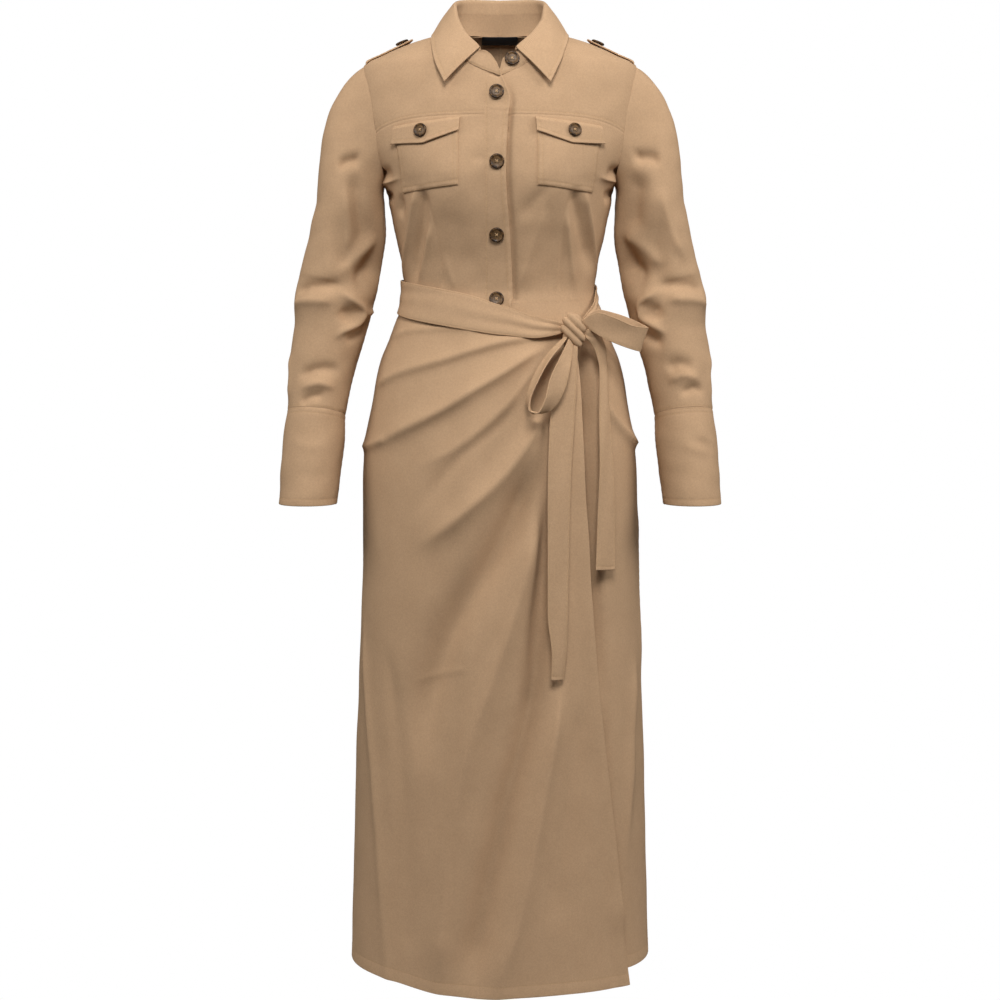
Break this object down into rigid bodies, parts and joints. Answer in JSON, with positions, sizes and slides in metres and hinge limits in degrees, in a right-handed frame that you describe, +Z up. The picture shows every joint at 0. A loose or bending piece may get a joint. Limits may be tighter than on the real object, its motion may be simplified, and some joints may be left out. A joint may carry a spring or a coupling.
{
  "type": "shirt dress",
  "caption": "Long-sleeved shirt dress with a shirt collar, patch pockets, epaulettes, a wrapped midi skirt and a tied sash.",
  "frame": {"origin": "middle of the neck at the height of the shoulder seams, inside the collar, where the wearer's neck and shoulders hold the dress up", "axes": "+Z up along the worn dress, -Y the front, +X the wearer's left"},
  "size_m": [0.608, 0.3106, 1.3619],
  "materials": {
    "cotton_twill": "matte cotton twill, camel brown",
    "horn_button": "polished, mottled dark horn look",
    "woven_label": "woven, black, blank"
  },
  "bodies": {
    "root": {"collar": "cotton_twill", "collar_stand": "cotton_twill", "front_yoke_left": "cotton_twill", "front_yoke_right": "cotton_twill", "front_left": "cotton_twill", "front_right": "cotton_twill", "placket": "cotton_twill", "back_left": "cotton_twill", "back_right": "cotton_twill", "sleeve_left": "cotton_twill", "sleeve_right": "cotton_twill", "cuff_left": "cotton_twill", "cuff_right": "cotton_twill", "epaulette_left": "cotton_twill", "epaulette_right": "cotton_twill", "pocket_left": "cotton_twill", "pocket_right": "cotton_twill", "pocket_flap_left": "cotton_twill", "pocket_flap_right": "cotton_twill", "skirt_wrap": "cotton_twill", "skirt_under": "cotton_twill", "skirt_back": "cotton_twill", "sash_front": "cotton_twill", "sash_back": "cotton_twill", "sash_knot": "cotton_twill", "bow_loop_low": "cotton_twill", "bow_loop_side": "cotton_twill", "sash_tail_long": "cotton_twill", "sash_tail_short": "cotton_twill", "button_1": "horn_button", "button_2": "horn_button", "button_3": "horn_button", "button_4": "horn_button", "button_5": "horn_button", "pocket_button_left": "horn_button", "pocket_button_right": "horn_button", "epaulette_button_left": "horn_button", "epaulette_button_right": "horn_button", "neck_label": "woven_label"}
  },
  "joints": []
}
